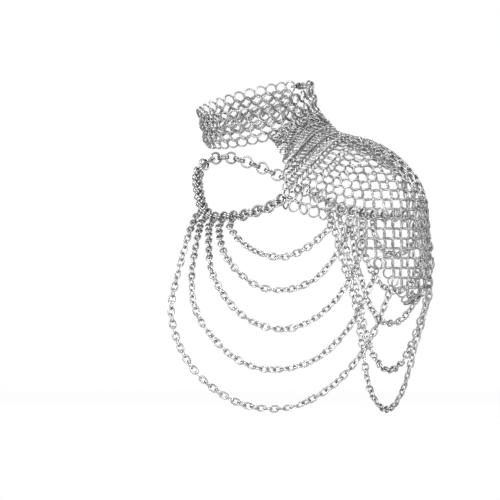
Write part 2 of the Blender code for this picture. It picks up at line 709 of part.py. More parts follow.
def clasp(name, height):
    """A lobster clasp across the collar's opening, with a ring to each edge bar."""
    bar_x = COLLAR_RADIUS * math.sin(OPENING_ANGLE)
    ring_x = bar_x - (0.5 * (CLASP_RING_BORE - MAIL_BAR) - 1.5 * SEAT_GAP)
    wire_x = ring_x - 0.5 * (CLASP_RING_BORE + RING_WIRE)
    centre = height * COLLAR_AXIS - COLLAR_RADIUS * math.cos(OPENING_ANGLE) * COLLAR_FRONT
    frame = Matrix.Translation(Vector(centre)) @ Matrix(
        np.column_stack((COLLAR_SIDE, COLLAR_AXIS, COLLAR_FRONT)).tolist()).to_4x4()
    for side, sign in (("left", 1.0), ("right", -1.0)):
        ring(f"{name}_{side}_ring", centre + sign * ring_x * COLLAR_SIDE, COLLAR_AXIS, CLASP_RING_BORE)

    eye = (-wire_x, 0.0)
    hook = (wire_x - CLASP_HOOK_SETBACK, 0.0)
    pivot = (CLASP_PIVOT_X, CLASP_PIVOT_Z)
    half_mouth = CLASP_HALF_WIDTH - CLASP_WALL
    edge = (arc(eye, CLASP_EYE_RADIUS, 60.0, 300.0, 9)
            + [(CLASP_BLOCK_LEFT_X, -CLASP_HALF_WIDTH)]
            + arc(hook, CLASP_HALF_WIDTH, -90.0, 90.0, 9)
            + [(CLASP_TIP_X, CLASP_HALF_WIDTH), (CLASP_TIP_X, half_mouth)]
            + arc(hook, half_mouth, 90.0, -90.0, 7)
            + [(CLASP_BLOCK_RIGHT_X, -half_mouth), (CLASP_BLOCK_RIGHT_X, CLASP_HALF_WIDTH),
               (CLASP_BLOCK_LEFT_X, CLASP_HALF_WIDTH)])
    pin_hole = circle(pivot, CLASP_PIN_RADIUS + CLASP_PIN_CLEARANCE)
    body = plate(name + "_body", (edge, circle(eye, 0.5 * CLASP_EYE_BORE), pin_hole), CLASP_THICKNESS, frame)
    slot_left = CLASP_PIVOT_X - CLASP_GATE_ROUND - CLASP_GATE_CLEARANCE
    slot_right = 0.5 * (CLASP_BLOCK_RIGHT_X + CLASP_TIP_X)
    slot_top = CLASP_HALF_WIDTH + CLASP_WALL
    slot = [(slot_left, CLASP_SLOT_FLOOR_Z), (slot_right, CLASP_SLOT_FLOOR_Z),
            (slot_right, slot_top), (slot_left, slot_top)]
    slot_width = CLASP_GATE_THICKNESS + 2.0 * CLASP_GATE_CLEARANCE
    cut(body, plate(name + "_slot", (slot,), slot_width, frame, cutters))

    gate_top = half_mouth - CLASP_GATE_CLEARANCE
    gate_edge = arc(pivot, CLASP_GATE_ROUND, 90.0, 270.0, 7) + [
        (CLASP_GATE_END_X, gate_top - CLASP_GATE_END_HEIGHT), (CLASP_GATE_END_X, gate_top)]
    gate = plate(name + "_gate", (gate_edge, pin_hole), CLASP_GATE_THICKNESS, frame)
    place_on_axis(gate, frame @ Vector((*pivot, 0.0)))
    plate(name + "_pin", (circle(pivot, CLASP_PIN_RADIUS),), CLASP_THICKNESS, frame)


CLASP_HEIGHT = 1.5 * (COLLAR_HEIGHT - MAIL_BAR) / COLLAR_ROWS
clasp("clasp_upper", CLASP_HEIGHT)
clasp("clasp_lower", -CLASP_HEIGHT)
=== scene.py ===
"""Chain-mail collar and one-shoulder mantle with draped chains."""
import math

import bpy
import numpy as np
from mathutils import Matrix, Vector


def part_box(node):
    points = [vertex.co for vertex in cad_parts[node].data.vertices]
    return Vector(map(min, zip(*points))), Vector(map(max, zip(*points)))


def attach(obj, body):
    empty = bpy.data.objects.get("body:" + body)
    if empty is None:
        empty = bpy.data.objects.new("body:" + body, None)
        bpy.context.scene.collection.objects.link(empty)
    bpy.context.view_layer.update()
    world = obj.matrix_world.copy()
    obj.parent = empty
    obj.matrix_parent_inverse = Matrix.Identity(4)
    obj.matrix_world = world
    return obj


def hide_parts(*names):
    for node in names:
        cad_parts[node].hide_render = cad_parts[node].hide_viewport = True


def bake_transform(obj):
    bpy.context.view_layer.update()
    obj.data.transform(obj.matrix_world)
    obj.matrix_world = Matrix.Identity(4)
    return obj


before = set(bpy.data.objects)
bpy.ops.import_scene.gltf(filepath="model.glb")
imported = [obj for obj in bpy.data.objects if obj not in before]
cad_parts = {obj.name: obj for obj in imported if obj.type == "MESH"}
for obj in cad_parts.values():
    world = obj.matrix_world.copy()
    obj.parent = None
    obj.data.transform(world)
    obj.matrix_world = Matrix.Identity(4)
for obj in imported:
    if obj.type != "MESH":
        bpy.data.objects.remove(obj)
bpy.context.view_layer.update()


# Collar band
# A band of open rings of bright aluminium wire, woven four in one in five rows. The rows lean in
# and out by turns. Each ring is a cut coil of wire whose two ends butt together.

MM = 0.001
MAIL_RING = 11.1 * MM
MAIL_WIRE = 1.8 * MM
MAIL_CUT = math.radians(3.0)
MAIL_LEAN = math.radians(17.0)
COLLAR_RADIUS = 58.0 * MM
COLLAR_LEAN = math.radians(16.5)
COLLAR_OPENING = 22.0 * MM
COLLAR_ROWS = 5
COLLAR_ROW_PITCH = 6.7 * MM
COLLAR_RINGS = 31
COLLAR_YAW = math.radians(8.0)
MAIL_SEED = 11
DARK_RIM = (0.12, 0.12, 0.125, 1.0)
NOISE_LOW = 0.33
NOISE_GAIN = 3.0
DULL_SPOTS = 60.0
ROUGH_SPOTS = 260.0
SCRATCH_STRENGTH = 0.1
SCRATCH_DEPTH = 0.1 * MM

COLLAR_AXIS = np.array((0.0, -math.sin(COLLAR_LEAN), math.cos(COLLAR_LEAN)))
COLLAR_FRONT = np.array((0.0, -math.cos(COLLAR_LEAN), -math.sin(COLLAR_LEAN)))
COLLAR_SIDE = np.array((1.0, 0.0, 0.0))


def put(tree, place, value):
    """Sets a socket to a value, or links it to what gives the value."""
    if isinstance(value, Amount):
        value = value.socket
    if isinstance(value, bpy.types.NodeSocket):
        tree.links.new(value, place)
    else:
        place.default_value = value


def add_node(tree, kind, sockets=(), **settings):
    """A node with its settings made first, and then its sockets, by name or number."""
    node = tree.nodes.new(kind)
    for key, value in settings.items():
        setattr(node, key, value)
    for key, value in dict(sockets).items():
        put(tree, node.inputs[key], value)
    return node


class Amount:
    """A number in a node tree. Sums written on it add Math nodes."""

    def __init__(self, tree, socket):
        self.tree, self.socket = tree, socket

    def maths(self, operation, first, second):
        node = add_node(self.tree, "ShaderNodeMath", {0: first, 1: second}, operation=operation)
        return Amount(self.tree, node.outputs[0])

    def __add__(self, other):
        return self.maths("ADD", self, other)

    def __radd__(self, other):
        return self.maths("ADD", other, self)

    def __sub__(self, other):
        return self.maths("SUBTRACT", self, other)

    def __rsub__(self, other):
        return self.maths("SUBTRACT", other, self)

    def __mul__(self, other):
        return self.maths("MULTIPLY", self, other)

    def __rmul__(self, other):
        return self.maths("MULTIPLY", other, self)

    def __truediv__(self, other):
        return self.maths("DIVIDE", self, other)

    def within(self, low, high):
        return self.maths("MINIMUM", self.maths("MAXIMUM", self, low), high)


class Finish:
    """A material, with its shader and the nodes that vary it."""

    def __init__(self, name, **settings):
        self.material = bpy.data.materials.new(name)
        self.material.use_nodes = True
        self.tree = self.material.node_tree
        self.shader = self.tree.nodes["Principled BSDF"]
        for socket, value in settings.items():
            self.vary(socket.replace("_", " ").title(), value)

    def node(self, kind, sockets=(), **settings):
        return add_node(self.tree, kind, sockets, **settings)

    def vary(self, socket, value):
        put(self.tree, self.shader.inputs[socket], value)

    def spots(self, scale, detail=3.0):
        """Soft spots over the object, from its own coordinates, spread over 0 to 1."""
        place = self.node("ShaderNodeTexCoord")
        noise = self.node("ShaderNodeTexNoise", {
            "Vector": place.outputs["Object"], "Scale": scale, "Detail": detail})
        return ((Amount(self.tree, noise.outputs["Fac"]) - NOISE_LOW) * NOISE_GAIN).within(0.0, 1.0)


def bright_metal(name, light, dark, smooth, rough, grain):
    """Drawn or cast metal, a little duller in spots, with fine scratches."""
    metal = Finish(name, metallic=1.0, specular_tint=DARK_RIM)
    shade = metal.node("ShaderNodeMix", {
        "Factor": metal.spots(DULL_SPOTS), "A": light, "B": dark}, data_type="RGBA")
    metal.vary("Base Color", shade.outputs["Result"])
    metal.vary("Roughness", smooth + (rough - smooth) * metal.spots(ROUGH_SPOTS))
    scratches = metal.node("ShaderNodeBump", {
        "Height": metal.spots(grain, 5.0), "Strength": SCRATCH_STRENGTH, "Distance": SCRATCH_DEPTH})
    metal.vary("Normal", scratches.outputs["Normal"])
    return metal


mail_aluminium = bright_metal("bright aluminium wire", (0.44, 0.44, 0.445, 1.0), (0.3, 0.3, 0.305, 1.0),
                              0.2, 0.34, 2600.0)


def wire_tree():
    """Geometry Nodes: a wire ring or oval link on each point, with its ends butted together."""
    tree = bpy.data.node_groups.new("wire rings", "GeometryNodeTree")
    face = tree.interface
    face.new_socket("Geometry", in_out="INPUT", socket_type="NodeSocketGeometry")
    for name, kind, value in (("Ring Radius", "Float", 5.6 * MM), ("Straight", "Float", 0.0),
                              ("Wire Radius", "Float", 0.65 * MM), ("Cut", "Float", 0.05),
                              ("Around Ring", "Int", 16), ("Around Wire", "Int", 5),
                              ("Looseness", "Float", 0.05), ("Roll", "Float", 0.05), ("Seed", "Int", 1)):
        face.new_socket(name, in_out="INPUT", socket_type="NodeSocket" + kind).default_value = value
    face.new_socket("Finish", in_out="INPUT", socket_type="NodeSocketMaterial")
    face.new_socket("Geometry", in_out="OUTPUT", socket_type="NodeSocketGeometry")
    start, end = add_node(tree, "NodeGroupInput"), add_node(tree, "NodeGroupOutput")
    given = start.outputs
    radius, cut = Amount(tree, given["Ring Radius"]), Amount(tree, given["Cut"])

    bow = add_node(tree, "GeometryNodeCurveArc", {
        "Resolution": given["Around Ring"], "Radius": radius,
        "Start Angle": 0.5 * cut - 0.5 * math.pi, "Sweep Angle": 2.0 * math.pi - cut})

    # pull the two halves apart to make an oval link
    place = add_node(tree, "GeometryNodeInputPosition")
    parts = add_node(tree, "ShaderNodeSeparateXYZ", {0: place.outputs[0]})
    side = (Amount(tree, parts.outputs["X"]) / (0.25 * radius)).within(-1.0, 1.0)
    shift = add_node(tree, "ShaderNodeCombineXYZ", {"X": side * given["Straight"]})
    pulled = add_node(tree, "GeometryNodeSetPosition", {
        "Geometry": bow.outputs["Curve"], "Offset": shift.outputs[0]})

    round_wire = add_node(tree, "GeometryNodeCurvePrimitiveCircle", {
        "Resolution": given["Around Wire"], "Radius": given["Wire Radius"]})
    solid = add_node(tree, "GeometryNodeCurveToMesh", {
        "Curve": pulled.outputs["Geometry"], "Profile Curve": round_wire.outputs["Curve"], "Fill Caps": True})
    smooth = add_node(tree, "GeometryNodeSetShadeSmooth", {"Geometry": solid.outputs["Mesh"]})

    facing, along = (
        add_node(tree, "GeometryNodeInputNamedAttribute", {"Name": name}, data_type="FLOAT_VECTOR")
        for name in ("facing", "along"))
    axes = add_node(tree, "FunctionNodeAxesToRotation", {
        "Primary Axis": facing.outputs["Attribute"], "Secondary Axis": along.outputs["Attribute"]},
        primary_axis="Z", secondary_axis="X")
    most = add_node(tree, "ShaderNodeCombineXYZ", {
        "X": given["Roll"], "Y": given["Looseness"], "Z": given["Looseness"]})
    least = add_node(tree, "ShaderNodeVectorMath", {
        0: most.outputs[0], "Scale": -1.0}, operation="SCALE")
    sway = add_node(tree, "FunctionNodeRandomValue", {
        "Min": least.outputs["Vector"], "Max": most.outputs[0],
        "Seed": given["Seed"]}, data_type="FLOAT_VECTOR")
    turn = add_node(tree, "FunctionNodeEulerToRotation", {0: sway.outputs["Value"]})
    settled = add_node(tree, "FunctionNodeRotateRotation", {
        "Rotation": axes.outputs["Rotation"], "Rotate By": turn.outputs[0]}, rotation_space="LOCAL")
    laid = add_node(tree, "GeometryNodeInstanceOnPoints", {
        "Points": given["Geometry"], "Instance": smooth.outputs["Geometry"],
        "Rotation": settled.outputs["Rotation"]})
    real = add_node(tree, "GeometryNodeRealizeInstances", {"Geometry": laid.outputs["Instances"]})
    dressed = add_node(tree, "GeometryNodeSetMaterial", {
        "Geometry": real.outputs["Geometry"], "Material": given["Finish"]})
    put(tree, end.inputs["Geometry"], dressed.outputs["Geometry"])
    return tree


WIRE_RINGS = wire_tree()


def wire_pieces(name, centres, facing, along, finish, body, nodes=(), **sizes):
    """A plain mesh of wire rings or links on the given points, riding on a body where one is named."""
    mesh = bpy.data.meshes.new(name)
    mesh.from_pydata([tuple(p) for p in centres], [], [])
    for title, vectors in (("facing", facing), ("along", along)):
        mesh.attributes.new(title, "FLOAT_VECTOR", "POINT").data.foreach_set("vector", np.ravel(vectors))
    holder = bpy.data.objects.new(name + " points", mesh)
    bpy.context.scene.collection.objects.link(holder)
    rings = holder.modifiers.new("rings", "NODES")
    rings.node_group = WIRE_RINGS
    for item in WIRE_RINGS.interface.items_tree:
        if item.item_type == "SOCKET" and item.in_out == "INPUT" and item.name in sizes:
            rings[item.identifier] = sizes[item.name]
        if item.name == "Finish":
            rings[item.identifier] = finish.material
    bpy.context.view_layer.update()
    made = bpy.data.meshes.new_from_object(holder.evaluated_get(bpy.context.evaluated_depsgraph_get()))
    made.name = name
    bpy.data.objects.remove(holder, do_unlink=True)
    piece = bpy.data.objects.new(name, made)
    bpy.context.scene.collection.objects.link(piece)
    if body:
        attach(piece, body)
    if nodes:
        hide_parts(*nodes)
    return piece


def unit(vectors):
    vectors = np.asarray(vectors, dtype=float)
    return vectors / np.linalg.norm(vectors, axis=-1, keepdims=True)


def collar_point(angle, height):
    around = np.outer(np.sin(angle), COLLAR_SIDE) + np.outer(np.cos(angle), COLLAR_FRONT)
    return COLLAR_RADIUS * around + np.outer(height * np.ones_like(angle), COLLAR_AXIS)


half_opening = 0.5 * (COLLAR_OPENING + MAIL_RING) / COLLAR_RADIUS
collar_centres, collar_facing, collar_along = [], [], []
for row in range(COLLAR_ROWS):
    angles = np.linspace(half_opening - math.pi, math.pi - half_opening, COLLAR_RINGS)
    if row % 2:
        angles = 0.5 * (angles[1:] + angles[:-1])
    height = (row - 0.5 * (COLLAR_ROWS - 1)) * COLLAR_ROW_PITCH
    out = unit(collar_point(angles, 0.0))
    side = np.cross(COLLAR_AXIS, out)
    out = math.cos(COLLAR_YAW) * out + math.sin(COLLAR_YAW) * side
    lean = MAIL_LEAN if row % 2 else -MAIL_LEAN
    collar_centres.append(collar_point(angles, height))
    collar_facing.append(math.cos(lean) * out + math.sin(lean) * COLLAR_AXIS)
    collar_along.append(side)

wire_pieces("collar_rings", np.vstack(collar_centres), np.vstack(collar_facing), np.vstack(collar_along),
            mail_aluminium, "mail", ["collar_mail"],
            **{"Ring Radius": 0.5 * MAIL_RING, "Wire Radius": 0.5 * MAIL_WIRE,
               "Cut": MAIL_CUT, "Seed": MAIL_SEED})


# Shoulder mantle
# A sheet of the same rings, laid over the shoulder in a square lattice and sewn to the collar's
# lower row. Every ring leans against its four neighbours. It steps down to a point on the arm.

NECK_RADIUS = 56.0 * MM
NECK_LENGTH = 78.0 * MM
SHOULDER_REACH = (98.0 * MM, 76.0 * MM, 76.0 * MM)
SHOULDER = (116.0 * MM, 22.0 * MM, -100.0 * MM)
ARM_END_Z = -168.0 * MM
ARM_END_ROUND = 44.0 * MM
YOKE_RADIUS = 55.0 * MM
YOKE_START = (36.0 * MM, 24.0 * MM, -58.0 * MM)
YOKE_END = (108.0 * MM, 24.0 * MM, -82.0 * MM)
CHEST = (134.0 * MM, 104.0 * MM, 200.0 * MM)
CHEST_Z = -230.0 * MM
BODY_BLEND = 8.0 * MM
MAIL_STANDOFF = 2.0 * MM

MANTLE_PITCH = 9.6 * MM
GUIDE_LINES = 10
MANTLE_FRONT_ANGLE = math.radians(-85.0)
MANTLE_CREST_ANGLE = math.radians(7.6)
MANTLE_BACK_ANGLE = math.radians(86.0)
MANTLE_FRONT_Z = -89.0 * MM
MANTLE_SIDE_Z = -109.0 * MM
MANTLE_DROP_ANGLE = math.radians(55.0)
SEAM_ANGLES = [math.radians(a) for a in (68.0, 116.0, 160.0)]
SEAM_HEIGHT = -20.0 * MM
POINT_ROWS = 9
POINT_TIP_ANGLE = math.radians(14.0)
POINT_PITCH = 9.7 * MM
POINT_STEP = POINT_PITCH / (0.5 * (SHOULDER_REACH[0] + SHOULDER_REACH[1]))
COLUMN_POINTS = 60
COLUMN_END_GAP = 7.0 * MM
SLOPE_STEP = 0.8 * MM
ROWS_TO_EVEN_OUT = 8.0
EDGE_RINGS_SPREAD = 3
OUTLINE_VIEW = np.array((math.sin(math.radians(55.0)), -math.cos(math.radians(55.0)), 0.0))
OUTLINE_SPREAD = 0.35
OUTLINE_DRAW = 5.5 * MM
OUTLINE_FADE = 18.0 * MM


def body_distance(p):
    """Distance from the neck, shoulder and chest that the mail lies on."""
    along = p @ COLLAR_AXIS
    neck = np.maximum(np.linalg.norm(p - np.outer(along, COLLAR_AXIS), axis=1) - NECK_RADIUS,
                      -along - NECK_LENGTH)
    x = (p[:, 0] - SHOULDER[0]) / SHOULDER_REACH[0]
    y = (p[:, 1] - SHOULDER[1]) / SHOULDER_REACH[1]
    above = np.maximum(p[:, 2] - SHOULDER[2], 0.0) / SHOULDER_REACH[2]
    below = np.maximum(ARM_END_Z - p[:, 2], 0.0) / ARM_END_ROUND
    shoulder = (np.sqrt(x * x + y * y + above * above + below * below) - 1.0) * SHOULDER_REACH[1]
    start, run = np.array(YOKE_START), np.array(YOKE_END) - np.array(YOKE_START)
    share = np.clip((p - start) @ run / (run @ run), 0.0, 1.0)
    yoke = np.linalg.norm(p - start - np.outer(share, run), axis=1) - YOKE_RADIUS
    chest = (np.linalg.norm((p - (0.0, 0.0, CHEST_Z)) / np.array(CHEST), axis=1) - 1.0) * min(CHEST)
    each = np.array([neck, shoulder, yoke, chest])
    nearest = each.min(axis=0)
    return nearest - BODY_BLEND * np.log(np.exp((nearest - each) / BODY_BLEND).sum(axis=0))


def body_normal(p):
    slope = np.empty_like(p)
    for axis in range(3):
        shift = np.zeros(3)
        shift[axis] = SLOPE_STEP
        slope[:, axis] = body_distance(p + shift) - body_distance(p - shift)
    return unit(slope)


def ring_of(node):
    """Centre and axis of a ring that stands in the frame."""
    corners = np.array([corner.co[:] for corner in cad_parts[node].data.vertices])
    centre = 0.5 * (corners.min(axis=0) + corners.max(axis=0))
    axis = np.linalg.svd(corners - corners.mean(axis=0), full_matrices=False)[2][2]
    return centre, axis


def onto_body(p, standoff=MAIL_STANDOFF):
    p = np.array(p, dtype=float)
    for _ in range(12):
        p -= (body_distance(p) - standoff)[:, None] * body_normal(p)
    return p


def along_curve(points, distances):
    """Points at the given distances along a curve."""
    steps = np.concatenate(([0.0], np.cumsum(np.linalg.norm(np.diff(points, axis=0), axis=1))))
    return np.array([np.interp(distances, steps, points[:, axis]) for axis in range(3)]).T, steps[-1]


def hem_height(angle):
    share = min(1.0, (angle - MANTLE_FRONT_ANGLE) / MANTLE_DROP_ANGLE)
    return MANTLE_FRONT_Z + share * (MANTLE_SIDE_Z - MANTLE_FRONT_Z)


def arm_guess(angle, height):
    return np.array((SHOULDER[0] + SHOULDER_REACH[0] * math.cos(angle),
                     SHOULDER[1] + SHOULDER_REACH[1] * math.sin(angle), height))


def mail_column(arm_angle, seam_angle):
    """The line of one column of rings, from the hem over the shoulder to the collar."""
    hem = onto_body([arm_guess(arm_angle, hem_height(arm_angle))])[0]
    seam = collar_point(np.array([seam_angle]), SEAM_HEIGHT)[0]
    top = max(seam[2], SHOULDER[2] + SHOULDER_REACH[2])
    turn = 0.5 * math.pi * np.linspace(0.0, 1.0, COLUMN_POINTS)
    guess = np.stack((hem[0] + (seam[0] - hem[0]) * (1.0 - np.cos(turn)),
                      hem[1] + (seam[1] - hem[1]) * (1.0 - np.cos(turn)),
                      hem[2] + (top - hem[2]) * np.sin(turn)), axis=1)
    line = onto_body(guess)
    line = line[np.linalg.norm(line - seam, axis=1) > COLUMN_END_GAP]
    return np.vstack((line, seam))


def guide_lines(edge_angle, seam_angle):
    """Lines up the mail from the crest to a free edge, with their lengths."""
    lines = [mail_column(MANTLE_CREST_ANGLE + share * (edge_angle - MANTLE_CREST_ANGLE),
                         SEAM_ANGLES[1] + share * (seam_angle - SEAM_ANGLES[1]))
             for share in np.linspace(0.0, 1.0, GUIDE_LINES)]
    return [(line, along_curve(line, [0.0])[1]) for line in lines]


guides = {-1: guide_lines(MANTLE_FRONT_ANGLE, SEAM_ANGLES[0]),
          1: guide_lines(MANTLE_BACK_ANGLE, SEAM_ANGLES[2])}


def mantle_row(side, row):
    """Ring centres of half a row, from the crest to the free edge or the seam."""
    height = row * MANTLE_PITCH
    stations = [along_curve(line, [height])[0][0] for line, length in guides[side] if length >= height]
    if len(stations) < GUIDE_LINES:
        long, short = guides[side][len(stations) - 1], guides[side][len(stations)]
        share = (long[1] - height) / (long[1] - short[1])
        stations.append(long[0][-1] + share * (short[0][-1] - long[0][-1]))
    line = np.array(stations)
    run = np.concatenate(([0.0], np.cumsum(np.linalg.norm(np.diff(line, axis=0), axis=1))))
    span = abs((MANTLE_FRONT_ANGLE, MANTLE_BACK_ANGLE)[side > 0] - MANTLE_CREST_ANGLE)
    high = min(1.0, row / ROWS_TO_EVEN_OUT)
    rings = (1.0 - high) * span / POINT_STEP + high * run[-1] / MANTLE_PITCH
    count = max(1, round(rings))
    shares = np.arange(count + 1) / rings
    loose = min(count, EDGE_RINGS_SPREAD)
    shares[count - loose:] = np.linspace(shares[count - loose], 1.0, loose + 1)
    places = (1.0 - high) * np.interp(shares, np.linspace(0.0, 1.0, len(run)), run) + high * shares * run[-1]
    centres = along_curve(line, places)[0]
    centres[1:-1] = onto_body(centres[1:-1])
    return centres


mantle = {}
for row in range(int(guides[1][0][1] / MANTLE_PITCH) + 1):
    for side in guides:
        for place, centre in enumerate(mantle_row(side, row)):
            mantle[side * place, row] = centre
for depth in range(1, POINT_ROWS + 1):
    for place in range(-(POINT_ROWS - depth), POINT_ROWS - depth + 1):
        angle = POINT_TIP_ANGLE + place * POINT_STEP
        mantle[place + 1, -depth] = onto_body([arm_guess(angle, hem_height(angle) - depth * POINT_PITCH)])[0]

mantle_places = sorted(mantle)
mantle_centres = np.array([mantle[key] for key in mantle_places])
mantle_out = body_normal(mantle_centres)
from_neck = np.linalg.norm(mantle_centres - np.outer(mantle_centres @ COLLAR_AXIS, COLLAR_AXIS), axis=1)
turned_away = np.exp(-(mantle_out @ OUTLINE_VIEW / OUTLINE_SPREAD) ** 2)
held = np.array([ring_of(name)[0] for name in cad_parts
                 if name.endswith(("edge_ring", "front_ring", "back_ring"))])
from_rings = np.linalg.norm(mantle_centres[:, None] - held, axis=2).min(axis=1) - 0.5 * MAIL_RING
drawn_in = OUTLINE_DRAW * turned_away
for room in (from_neck - COLLAR_RADIUS, from_rings):
    drawn_in *= np.clip(room / OUTLINE_FADE, 0.0, 1.0)
mantle_centres -= drawn_in[:, None] * mantle_out


def neighbour(key, across, up):
    """Direction from a ring to the next one across or up, or back from the last one."""
    here = mantle[key]
    there = mantle.get((key[0] + across, key[1] + up))
    if there is None:
        there = 2.0 * here - mantle.get((key[0] - across, key[1] - up), here - (0.0, 1.0 * MM, 1.0 * MM))
    return there - here


mantle_facing, mantle_along = [], []
for key, out in zip(mantle_places, mantle_out):
    across = unit(neighbour(key, 1, 0))
    across = unit(across - (across @ out) * out)
    up = np.cross(out, across)
    lean = MAIL_LEAN if sum(key) % 2 else -MAIL_LEAN
    mantle_facing.append(math.cos(lean) * out + math.sin(lean) * unit(across + up))
    mantle_along.append(unit(across - up))

wire_pieces("mantle_rings", mantle_centres, mantle_facing, mantle_along, mail_aluminium, "mail",
            ["mantle_front", "mantle_back", "mantle_arm_point"],
            **{"Ring Radius": 0.5 * MAIL_RING, "Wire Radius": 0.5 * MAIL_WIRE,
               "Cut": MAIL_CUT, "Seed": MAIL_SEED + 1})


# Neck chain
# Round rings of thicker bright wire in pairs, each pair through the next. It runs from the
# mantle's front corner across the chest, round the right of the neck and down to the back corner.

NECK_RING = 11.0 * MM
NECK_WIRE = 1.8 * MM
NECK_LINK_PITCH = 8.3 * MM
PAIR_GAP = 0.1 * MM
CORNER_RING_BORE = 9.0 * MM
LOOSE_RING_WIRE = 1.5 * MM
SEAT_GAP = 0.35 * MM
NECK_SEED = 23
NECK_CHAIN_ROUTE = [
    (113.0, -58.0, -89.0),
    (101.5, -61.3, -93.3),
    (86.0, -65.9, -96.9),
    (70.5, -70.7, -100.9),
    (54.0, -72.0, -102.0),
    (37.4, -71.9, -102.7),
    (20.8, -70.9, -102.7),
    (5.1, -67.8, -98.4),
    (-9.4, -62.4, -92.0),
    (-23.0, -55.2, -85.8),
    (-36.0, -47.8, -78.8),
    (-48.7, -40.3, -71.7),
    (-61.5, -32.2, -66.0),
    (-74.0, -23.5, -60.5),
    (-84.0, -12.0, -52.0),
    (-88.0, 2.0, -44.5),
    (-86.0, 18.0, -41.5),
    (-77.0, 38.0, -46.0),
    (-62.0, 57.0, -56.0),
    (-43.0, 73.0, -68.0),
    (-18.0, 86.0, -82.0),
    (12.0, 93.0, -93.0),
    (46.0, 97.0, -99.0),
    (86.0, 99.0, -102.0),
]

polished_wire = bright_metal("polished wire", (0.52, 0.52, 0.525, 1.0), (0.38, 0.38, 0.385, 1.0),
                             0.14, 0.26, 2200.0)


def square_to(vector, axis):
    return unit(vector - np.dot(vector, unit(axis)) * unit(axis))


def smooth_route(stations, steps=8):
    """Catmull-Rom curve through the stations."""
    p = np.vstack((2.0 * stations[0] - stations[1], stations, 2.0 * stations[-1] - stations[-2]))
    curve = []
    for i in range(1, len(p) - 2):
        for t in np.arange(steps) / steps:
            curve.append(0.5 * (2.0 * p[i] + (p[i + 1] - p[i - 1]) * t
                                + (2.0 * p[i - 1] - 5.0 * p[i] + 4.0 * p[i + 1] - p[i + 2]) * t ** 2
                                + (3.0 * p[i] - p[i - 1] - 3.0 * p[i + 1] + p[i + 2]) * t ** 3))
    return np.vstack((curve, p[-2]))


def hooked_point(ring, bore, leaving):
    """Where a link bears on a ring that it hooks round and leaves one way."""
    centre, axis = ring
    wire = centre + 0.5 * (bore + LOOSE_RING_WIRE) * square_to(leaving, axis)
    return wire - (0.5 * LOOSE_RING_WIRE + SEAT_GAP) * unit(leaving)


def chain_links(curve, pitch, start_width, end_width):
    """Middles, lengthways directions and facings of links, each a quarter turn from the last."""
    length = along_curve(curve, [0.0])[1]
    count = round(length / pitch)
    contacts = along_curve(curve, np.linspace(0.0, length, count + 1))[0]
    tangents = unit(np.gradient(contacts, axis=0))
    carried = [square_to(start_width, tangents[0])]
    for tangent in tangents[1:]:
        carried.append(square_to(carried[-1], tangent))
    wanted = square_to(end_width, tangents[-1])
    leftover = math.atan2(wanted @ np.cross(tangents[-1], carried[-1]), wanted @ carried[-1])
    leftover -= 0.5 * math.pi * (count - 1)
    leftover -= math.pi * round(leftover / math.pi)
    middles, along, facing = [], [], []
    for k in range(count):
        run = unit(contacts[k + 1] - contacts[k])
        width = square_to(carried[k] + carried[k + 1], run)
        angle = 0.5 * math.pi * k + leftover * k / (count - 1)
        middles.append(0.5 * (contacts[k] + contacts[k + 1]))
        along.append(run)
        facing.append(math.cos(angle) * np.cross(run, width) - math.sin(angle) * width)
    return np.array(middles), np.array(along), np.array(facing)


front_corner, back_corner = ring_of("neck_chain_front_ring"), ring_of("neck_chain_back_ring")
neck_curve = smooth_route(MM * np.array(NECK_CHAIN_ROUTE))
neck_start = hooked_point(front_corner, CORNER_RING_BORE, neck_curve[4] - front_corner[0])
neck_end = hooked_point(back_corner, CORNER_RING_BORE, neck_curve[-5] - back_corner[0])
neck_curve = np.vstack((neck_start, neck_curve[4:-4], neck_end))
middles, along, facing = chain_links(neck_curve, NECK_LINK_PITCH, front_corner[1], back_corner[1])
apart = 0.5 * (NECK_WIRE + PAIR_GAP) * facing
wire_pieces("neck_chain_rings", np.vstack((middles - apart, middles + apart)), np.vstack((facing, facing)),
            np.vstack((along, along)), polished_wire, "mail", ["neck_chain"],
            **{"Ring Radius": 0.5 * NECK_RING, "Wire Radius": 0.5 * NECK_WIRE, "Cut": MAIL_CUT,
               "Looseness": 0.06, "Seed": NECK_SEED})
